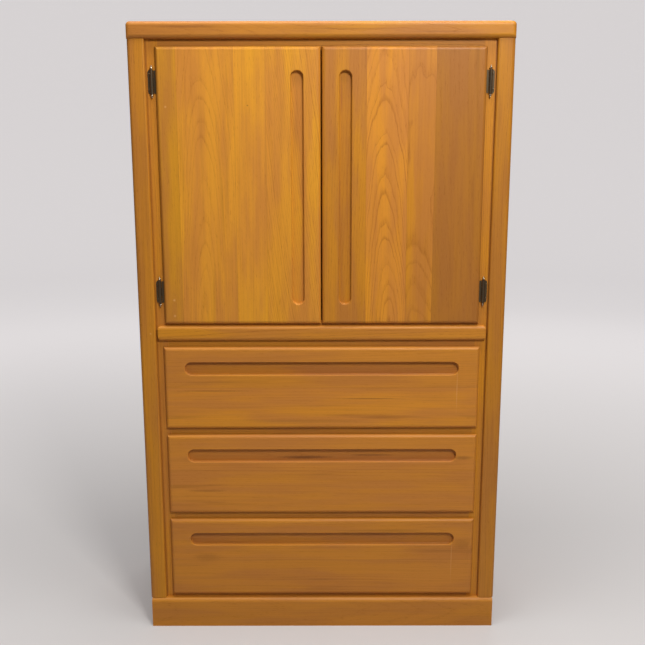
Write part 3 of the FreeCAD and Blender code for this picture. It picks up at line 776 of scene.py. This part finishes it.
@dataclass
class Case(Assembly):
    """Posts, face frame, panels, top and plinth."""

    def dress_all(self) -> None:
        """Dress every board of the case."""
        upright = OakFinish("oak_post", Layout.UPRIGHT_FRONT, boards=(
            Board(tone=0.89, pith=-0.75, depth=0.09, seed=1.3),
            Board(0.0, tone=0.84, pith=0.78, depth=0.07, seed=4.1)),
            marks=(Mark(-0.452, 0.845, 0.003, 0.003, strength=0.4),))
        for side in ("left", "right"):
            self.dress(f"{side}_post", upright)
            self.dress(f"{side}_inner_stile", OakFinish(
                f"oak_{side}_stile", Layout.UPRIGHT_FRONT,
                boards=(Board(tone=0.97, pith=0.05, depth=0.2, seed=2.2),),
                # Painted shade: dark lines along the posts' inner edges stand in for the shadow
                # in the groove between post and stile.
                marks=(Mark.painted_shade_line(-0.4375, 0.0035, 4.0, strength=0.6),
                       Mark.painted_shade_line(0.4375, 0.0035, 4.0, strength=0.75))))
            self.dress(f"{side}_side_panel", self._side_finish(side))
        for seed, name in enumerate(("top_rail", "mid_rail", "upper_drawer_rail",
                                     "lower_drawer_rail", "bottom_rail")):
            self.dress(name, OakFinish(
                f"oak_{name}", Layout.LEVEL_FRONT,
                boards=(Board(tone=0.85, brown=0.3, pith=3.0, seed=seed * 1.9),)))
        self.dress("mid_rail_moulding", OakFinish(
            "oak_moulding", Layout.LEVEL_FRONT,
            boards=(Board(brown=0.15, pith=0.70, depth=0.05, seed=6.4),)))
        self._dress_top()
        self._dress_plinth()
        self._dress_inside()

    @staticmethod
    def _side_finish(side: str) -> OakFinish:
        """Finish of a side panel: four upright boards, in another pattern on each side."""
        shift = 0.0 if side == "left" else 2.7
        return OakFinish(f"oak_{side}_side", Layout.UPRIGHT_SIDE, boards=(
            Board(tone=0.95, pith=-0.16, depth=0.53, seed=1.1 + shift),
            Board(-0.085, tone=1.02, brown=0.1, pith=-0.02, depth=0.52, seed=3.6 + shift),
            Board(0.035, tone=0.94, brown=0.25, pith=0.20, depth=0.54, seed=7.2 + shift),
            Board(0.140, tone=1.0, brown=0.05, pith=0.17, depth=0.51, seed=9.9 + shift)))

    def _dress_top(self) -> None:
        """Dress the top panel and its border."""
        self.dress("top_panel", OakFinish("oak_top", Layout.LEVEL_TOP, boards=(
            Board(pith=-0.14, depth=-1.60, seed=2.5),
            Board(-0.075, tone=0.94, brown=0.2, pith=-0.02, depth=-1.58, seed=5.1),
            Board(0.060, tone=1.03, pith=0.11, depth=-1.61, seed=8.3),
            Board(0.160, tone=0.96, brown=0.1, pith=0.2, depth=-1.57, seed=11.7))))
        self.dress("top_front_moulding", OakFinish(
            "oak_top_front", Layout.LEVEL_FRONT,
            boards=(Board(tone=0.90, brown=0.1, pith=1.60, depth=0.30, seed=3.3),),
            contrast=0.14, streaks=0.45, clouds=0.85, marks=(
                Mark(-0.330, 1.618, 0.110, 0.0035, shade=DARK_STREAK_AND_SHADE, strength=0.45),
                Mark(0.060, 1.613, 0.150, 0.0030, shade=DARK_STREAK_AND_SHADE, strength=0.4),
                Mark(0.300, 1.606, 0.120, 0.0030, shade=DARK_STREAK_AND_SHADE, strength=0.35))))
        for side, seed in (("left", 4.4), ("right", 8.8)):
            self.dress(f"top_{side}_moulding", OakFinish(
                f"oak_top_{side}", Layout.DEEP_SIDE,
                boards=(Board(tone=0.97, pith=1.55, depth=0.1, seed=seed),)))
        self.dress("top_back_rail", plain_wood("plain_back_rail", Layout.LEVEL_FRONT, 1.2))

    def _dress_plinth(self) -> None:
        """Dress the plinth's four boards."""
        self.dress("plinth_front", OakFinish(
            "oak_plinth_front", Layout.LEVEL_FRONT,
            boards=(Board(tone=0.93, brown=0.25, pith=0.06, depth=0.42, seed=5.7,
                          figure=0.3),)))
        for side, seed in (("left", 6.6), ("right", 2.9)):
            self.dress(f"plinth_{side}_side", OakFinish(
                f"oak_plinth_{side}", Layout.DEEP_SIDE,
                boards=(Board(tone=0.93, brown=0.2, pith=0.05, depth=0.5, seed=seed),)))
        self.dress("plinth_back", plain_wood("plain_plinth_back", Layout.LEVEL_FRONT, 3.4))

    def _dress_inside(self) -> None:
        """Dress the floor, shelf, back, runners and the other inner boards."""
        self.dress("cupboard_floor", plain_wood("plain_floor", Layout.LEVEL_TOP, 4.9))
        self.dress("cupboard_shelf", plain_wood("plain_shelf", Layout.LEVEL_TOP, 7.7))
        self.dress("bottom_panel", plain_wood("plain_bottom", Layout.LEVEL_TOP, 1.7))
        self.dress("back_panel", plywood("ply_back", Layout.UPRIGHT_FRONT, 2.1))
        for drawer in DRAWERS:
            for side in ("left", "right"):
                self.dress(f"drawer_{drawer}_{side}_runner",
                           plain_wood(f"plain_runner_{drawer}_{side}", Layout.DEEP_TOP,
                                       drawer * 1.3 + len(side)))


def plain_wood(name: str, layout: Layout, seed: float) -> OakFinish:
    """Paler secondary wood under a thin clear coat.

    Args:
        name: Name of the material.
        layout: How the board lies.
        seed: Picks its pattern.

    Returns:
        The finish.
    """
    return OakFinish(name, layout, boards=(Board(pith=0.1, depth=0.35, seed=seed),),
                     light=(0.62, 0.40, 0.19), brown=(0.50, 0.30, 0.13),
                     line=(0.36, 0.20, 0.08), contrast=0.3, streaks=0.1, roughness=0.5,
                     wear=0.3)


def plywood(name: str, layout: Layout, seed: float) -> OakFinish:
    """Thin rotary-cut plywood with broad, faint figure.

    Args:
        name: Name of the material.
        layout: How the sheet lies.
        seed: Picks its pattern.

    Returns:
        The finish.
    """
    return OakFinish(name, layout,
                     boards=(Board(pith=0.0, depth=0.6, seed=seed, taper=0.012),),
                     light=(0.60, 0.41, 0.21), brown=(0.50, 0.31, 0.14),
                     line=(0.42, 0.25, 0.11), contrast=0.35, streaks=0.05, spacing=0.012,
                     waviness=0.09, roughness=0.6, wear=0.2)


@dataclass
class Doors(Assembly):
    """The two cupboard doors."""

    def dress_all(self) -> None:
        """Dress each door in its own glued-up boards."""
        self.dress("left_door_panel", OakFinish(
            "oak_left_door", Layout.UPRIGHT_FRONT, contrast=0.36, flecks=0.27,
            light=(0.68, 0.300, 0.016), clouds=0.75,
            # The slot's floor gets painted shade.
            slot=Slot(-0.061, DOOR_SLOT_MIDDLE, 0.020, 0.300), boards=(
                Board(tone=0.94, pith=-0.60, depth=0.25, seed=1.9, figure=0.25),
                Board(-0.363, tone=1.13, pith=-0.305, depth=0.188, seed=3.2, figure=0.55,
                      taper=0.070),
                Board(-0.219, tone=1.13, pith=-0.02, depth=0.24, seed=6.9, figure=0.35),
                Board(-0.140, tone=1.11, pith=-0.40, depth=0.26, seed=9.4, slant=0.14)),
            # Painted shade: a dark line along the door's left rounded edge stands in for its
            # shadow.
            marks=(Mark.painted_shade_line(-0.4115, 0.0050, 2.0, strength=0.45),
                   Mark(-0.386, 0.935), Mark(-0.386, 0.893),
                   Mark(-0.391, 1.427, 0.0035, 0.0035),
                   Mark(-0.185, 1.430, 0.0025, 0.0025, shade=(0.10, 0.03, 0.005)))))
        self.dress("right_door_panel", OakFinish(
            "oak_right_door", Layout.UPRIGHT_FRONT, contrast=0.44, clouds=0.85,
            spacing=0.0066, waviness=0.052,
            # The slot's floor gets painted shade.
            slot=Slot(0.061, DOOR_SLOT_MIDDLE, 0.020, 0.300), boards=(
                Board(tone=0.93, brown=0.1, pith=0.30, depth=0.24, seed=2.8,
                      slant=-0.05, figure=0.45),
                Board(0.114, tone=1.12, pith=0.168, depth=0.177, seed=5.5, taper=0.094),
                Board(0.219, tone=1.00, brown=0.2, pith=0.253, depth=0.286, seed=7.7,
                      figure=0.9, taper=0.038),
                Board(0.288, tone=0.78, brown=0.5, pith=0.56, depth=0.25, seed=10.6,
                      slant=0.10, figure=0.18)),
            marks=(Mark(0.052, 1.450, 0.0025, 0.050, shade=RED_STREAK),
                   Mark(0.066, 1.180, 0.0018, 0.120, shade=RED_STREAK, strength=0.4))))


@dataclass
class Drawer(Assembly):
    """One drawer.

    Attributes:
        number: Its number, counted from the top.
        boards: Boards of its front.
        streaks: How strongly mineral streaks show on its front.
        marks: Scratches and dark streaks in its front.
    """

    number: int = 1
    boards: tuple[Board, ...] = (Board(),)
    streaks: float = 0.36
    marks: tuple[Mark, ...] = ()

    @property
    def slot_height(self) -> float:
        """Middle height of this drawer's slot."""
        return TOP_DRAWER_SLOT - DRAWER_PITCH * (self.number - 1)

    def dress_all(self) -> None:
        """Dress the front, the sides, the back and the bottom."""
        name = f"drawer_{self.number}"
        self.dress(f"{name}_front", OakFinish(
            f"oak_{name}_front", Layout.LEVEL_FRONT, boards=self.boards,
            contrast=0.15, clouds=0.85, flecks=0.16,
            # The slot's floor gets painted shade, darker and cooler than on the doors.
            streaks=self.streaks, marks=self.marks, slot=Slot(
                0.0, self.slot_height, 0.370, 0.023, shade=(0.88, 0.87, 0.98))))
        for side, seed in (("left", 0.6), ("right", 5.2)):
            self.dress(f"{name}_{side}_side", plain_wood(
                f"plain_{name}_{side}", Layout.DEEP_SIDE, seed + self.number))
        self.dress(f"{name}_back", plain_wood(f"plain_{name}_back", Layout.LEVEL_FRONT,
                                              self.number * 2.3))
        self.dress(f"{name}_bottom", plywood(f"ply_{name}_bottom", Layout.LEVEL_TOP,
                                             self.number * 3.1))


@dataclass
class Hardware(Assembly):
    """Hinges, screws, shelf pegs, catch and strike plates.

    Attributes:
        brass: Dark antique plating of the hinges.
        pin: The hinge pins, rubbed brighter at their finials.
        steel: Zinc-plated steel.
        plastic: Brown moulded plastic.
    """

    brass: MetalFinish = field(default_factory=lambda: MetalFinish(
        "aged_brass", (0.060, 0.041, 0.024), (0.55, 0.42, 0.26), roughness=0.17, wear=0.6))
    pin: MetalFinish = field(default_factory=lambda: MetalFinish(
        "aged_brass_pin", (0.52, 0.42, 0.30), (0.85, 0.70, 0.50), roughness=0.24))
    steel: MetalFinish = field(default_factory=lambda: MetalFinish(
        "zinc_steel", (0.56, 0.56, 0.54), (0.8, 0.8, 0.78), roughness=0.35, mottle=0.3))
    plastic: PlasticFinish = field(default_factory=lambda: PlasticFinish(
        "catch_brown", (0.11, 0.055, 0.025)))

    def dress_all(self) -> None:
        """Dress every metal and plastic piece."""
        for side in ("left", "right"):
            for part in ("frame_leaves", "door_leaves", "door_screws"):
                self.dress(f"{side}_hinge_{part}", self.brass)
            self.dress(f"{side}_strike_plate", self.steel)
        self.dress("hinge_frame_screws", self.brass)
        self.dress("hinge_pins", self.pin)
        self.dress("shelf_pegs", self.pin)
        self.dress("door_catch", self.plastic)


# ---- studio


@dataclass(frozen=True)
class Lamp:
    """A soft rectangular light.

    Attributes:
        name: Its name.
        place: Where it hangs.
        target: What it points at.
        size: Its width and height.
        power: Its strength in watts.
        colour: Its colour.
    """

    name: str
    place: tuple[float, float, float]
    target: tuple[float, float, float]
    size: tuple[float, float]
    power: float
    colour: Colour = (1.0, 1.0, 1.0)


@dataclass
class Studio:
    """Plain pale floor, soft light and the camera.

    Attributes:
        lens: Focal length for a 36 mm sensor.
        camera_place: Where the camera stands.
        tilt: How far it looks down, in degrees.
        roll: How far it is turned about its own axis, in degrees.
        sky: Strength of the even light from above.
        floor_radius: How far the level floor reaches.
        sweep_radius: Radius of the curve between the floor and the wall.
        wall_height: How high the wall round the floor is.
        hub_radius: Radius of the small flat face in the middle of the floor.
        bend_steps: Points along the curve between the floor and the wall.
        turn_steps: Points round the floor.
        floor_shade: Colour of the floor.
        wall_shade: Colour of the wall.
        glow: How bright the distant floor and wall look.
        lamps: The soft lights.
    """

    lens: float = 47.44
    camera_place: tuple[float, float, float] = (0.003, -2.425, 1.318)
    tilt: float = 11.41
    roll: float = 0.1
    sky: float = 0.18
    floor_radius: float = 7.0
    sweep_radius: float = 2.0
    wall_height: float = 5.0
    hub_radius: float = 0.02
    bend_steps: int = 17
    turn_steps: int = 96
    floor_shade: Colour = (0.50, 0.48, 0.47)
    wall_shade: Colour = (1.0, 0.96, 0.97)
    glow: float = 0.58
    lamps: tuple[Lamp, ...] = (
        Lamp("key", (0.72, -2.20, 2.68), (0.0, -0.2, 1.2), (0.55, 0.55), 46.0,
             (1.0, 0.99, 0.97)),
        Lamp("overhead", (0.0, -0.65, 3.6), (0.0, -0.25, 0.0), (2.4, 1.3), 74.0),
        Lamp("rim", (0.5, 3.0, 3.0), (0.0, 0.0, 1.0), (2.5, 1.5), 40.0),
    )

    def build(self) -> None:
        """Build the floor, the light and the camera."""
        self._floor()
        self._world()
        for lamp in self.lamps:
            self._light(lamp)
        self._camera()
        view = bpy.context.scene.view_settings
        view.view_transform = "Standard"

    def _floor(self) -> None:
        """Build a pale floor that sweeps up into a low round wall.

        The profile runs level to the floor radius, then follows a quarter circle, then
        rises to the wall height. It is turned once round the upright axis, so it looks the
        same from every side.
        """
        bend = np.linspace(0.0, math.pi / 2.0, self.bend_steps)
        reach = np.concatenate(([self.hub_radius],
                                self.floor_radius + self.sweep_radius * np.sin(bend),
                                [self.floor_radius + self.sweep_radius]))
        level = np.concatenate(([0.0], self.sweep_radius * (1.0 - np.cos(bend)),
                                [self.wall_height]))
        turn = np.linspace(0.0, 2.0 * math.pi, self.turn_steps, endpoint=False)
        points = np.stack([reach[:, None] * np.cos(turn), reach[:, None] * np.sin(turn),
                           np.repeat(level[:, None], turn.size, axis=1)], axis=-1)
        row, column = np.meshgrid(np.arange(reach.size - 1), np.arange(turn.size),
                                  indexing="ij")
        after = (column + 1) % turn.size
        faces = np.stack([row * turn.size + column, (row + 1) * turn.size + column,
                          (row + 1) * turn.size + after, row * turn.size + after], axis=-1)
        middle = np.arange(turn.size)
        mesh = bpy.data.meshes.new("floor")
        mesh.from_pydata(points.reshape(-1, 3).tolist(), [],
                         faces.reshape(-1, 4).tolist() + [middle.tolist()])
        mesh.polygons.foreach_set("use_smooth", np.ones(len(mesh.polygons), dtype=bool))
        floor = bpy.data.objects.new("floor", mesh)
        bpy.context.scene.collection.objects.link(floor)
        mesh.materials.append(self._floor_material())

    def _floor_material(self) -> bpy.types.Material:
        """Pale floor that brightens with distance into an evenly lit wall.

        The glow is seen straight on only, so it doesn't light the furniture.
        """
        made, graph, shader, where = new_material("pale_floor")
        away = graph.length(graph.vector("MULTIPLY", where, (1.0, 1.0, 0.0)))
        far = graph.ramp(away, 0.3, 0.65 * self.floor_radius, 0.22, 1.0)
        shader.inputs["Base Color"].default_value = (*self.floor_shade, 1.0)
        shader.inputs["Emission Color"].default_value = (*self.wall_shade, 1.0)
        seen = graph.add("LightPath").outputs["Is Camera Ray"]
        graph.feed(shader.inputs["Emission Strength"],
                   graph.maths("MULTIPLY", graph.maths("MULTIPLY", far, seen), self.glow))
        shader.inputs["Roughness"].default_value = 0.9
        return made

    def _world(self) -> None:
        """Light the scene evenly from above."""
        world = bpy.data.worlds.new("studio")
        world.use_nodes = True
        background = world.node_tree.nodes["Background"]
        background.inputs["Color"].default_value = (0.98, 0.97, 0.98, 1.0)
        background.inputs["Strength"].default_value = self.sky
        bpy.context.scene.world = world

    @staticmethod
    def _light(lamp: Lamp) -> None:
        """Hang one soft light."""
        data = bpy.data.lights.new(lamp.name, "AREA")
        data.shape = "RECTANGLE"
        data.size, data.size_y = lamp.size
        data.energy = lamp.power
        data.color = lamp.colour
        light = bpy.data.objects.new(lamp.name, data)
        light.location = lamp.place
        light.visible_camera = False
        aim = Vector(lamp.target) - Vector(lamp.place)
        light.rotation_euler = aim.to_track_quat("-Z", "Y").to_euler()
        bpy.context.scene.collection.objects.link(light)

    def _camera(self) -> None:
        """Place the camera and make it the scene's."""
        data = bpy.data.cameras.new("camera")
        data.lens = self.lens
        data.sensor_width = 36.0
        camera = bpy.data.objects.new("camera", data)
        camera.location = self.camera_place
        camera.rotation_euler = Euler((math.radians(90.0 - self.tilt), math.radians(self.roll),
                                       0.0))
        bpy.context.scene.collection.objects.link(camera)
        bpy.context.scene.camera = camera


# ---- main


# Each drawer front's boards and marks, by the drawer's number, counted from the top.
DRAWERS = {
    1: ((Board(tone=1.12, brown=0.3, pith=0.50, depth=0.27, seed=4.7),
         Board(0.696, tone=1.04, brown=0.4, pith=0.80, depth=0.25, seed=8.1)),
        (Mark(0.362, 0.690, 0.0014, 0.075, strength=0.35),
         Mark(-0.285, 0.688, 0.130, 0.0024, shade=DARK_STREAK_AND_SHADE, strength=0.55),
         Mark(0.125, 0.666, 0.100, 0.0024, shade=DARK_STREAK_AND_SHADE, strength=0.5),
         Mark(-0.060, 0.604, 0.200, 0.0070, shade=DARK_STREAK_AND_SHADE, strength=0.25))),
    2: ((Board(tone=1.08, brown=0.5, pith=0.30, depth=0.26, seed=2.4),
         Board(0.464, tone=1.08, brown=0.5, pith=0.50, depth=0.235, seed=6.2)),
        (Mark(-0.045, 0.497, 0.090, 0.0060, shade=MINERAL, strength=0.65),
         Mark(0.140, 0.503, 0.080, 0.0040, shade=MINERAL, strength=0.4),
         Mark(-0.315, 0.404, 0.065, 0.0045, shade=DARK_STREAK_AND_SHADE, strength=0.45),
         Mark(0.385, 0.498, 0.030, 0.0070, shade=MINERAL, strength=0.4))),
    3: ((Board(tone=1.00, brown=0.4, pith=0.00, depth=0.26, seed=9.8),
         Board(0.199, tone=1.02, brown=0.4, pith=0.35, depth=0.245, seed=1.5)),
        (Mark(0.360, 0.200, 0.0014, 0.080, strength=0.25),
         Mark(0.390, 0.245, 0.030, 0.0200, shade=DARK_STREAK_AND_SHADE, strength=0.35),
         Mark(-0.320, 0.207, 0.045, 0.0160, shade=DARK_STREAK_AND_SHADE, strength=0.3))),
}


def main() -> None:
    """Load the model, dress each assembly, and set up the studio."""
    logging.basicConfig(level=logging.INFO, format="%(name)s: %(message)s")
    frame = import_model()
    effects = SharedEffects()
    nodes = frame["nodes"]
    Case(effects, nodes).dress_all()
    Doors(effects, nodes).dress_all()
    for number, (boards, marks) in DRAWERS.items():
        Drawer(effects, nodes, number=number, boards=boards, marks=marks).dress_all()
    Hardware(effects, nodes).dress_all()
    Studio().build()


if __name__ == "__main__":
    main()
